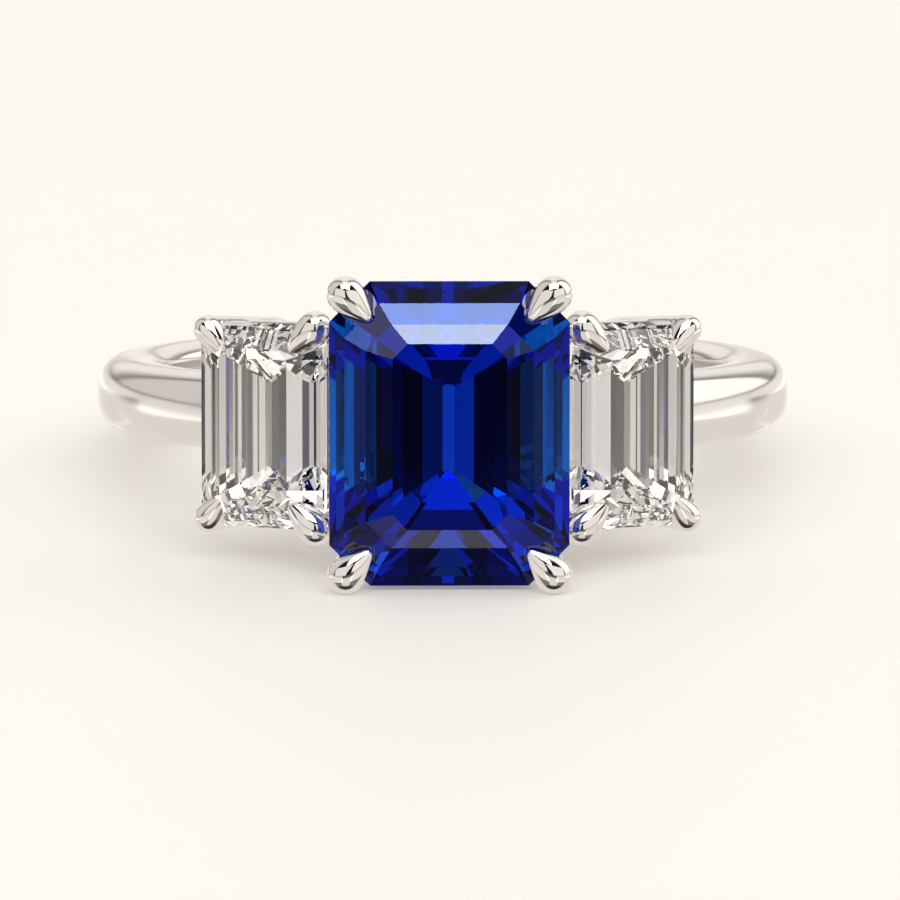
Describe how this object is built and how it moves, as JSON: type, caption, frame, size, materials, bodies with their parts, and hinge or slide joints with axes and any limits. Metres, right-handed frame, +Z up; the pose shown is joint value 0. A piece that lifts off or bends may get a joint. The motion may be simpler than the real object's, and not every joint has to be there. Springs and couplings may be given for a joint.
{
  "type": "three-stone sapphire ring",
  "caption": "Finger ring lying on its side: a step-cut blue sapphire between two step-cut diamonds in claw baskets on a plain rounded band.",
  "frame": {"origin": "on the surface the ring lies on, under the middle of its outline", "axes": "+X to the viewer's right along the row of stones, -Y the way the stones face, +Z up; the finger hole's axis leans 8 degrees back from +Z"},
  "size_m": [0.0208, 0.0258, 0.0089],
  "materials": {
    "polished_metal": "polished white precious metal",
    "sapphire": "polished deep blue facets",
    "diamond": "polished colourless facets"
  },
  "bodies": {
    "root": {"ring_mount": "polished_metal", "sapphire": "sapphire", "diamond_left": "diamond", "diamond_right": "diamond"}
  },
  "joints": []
}
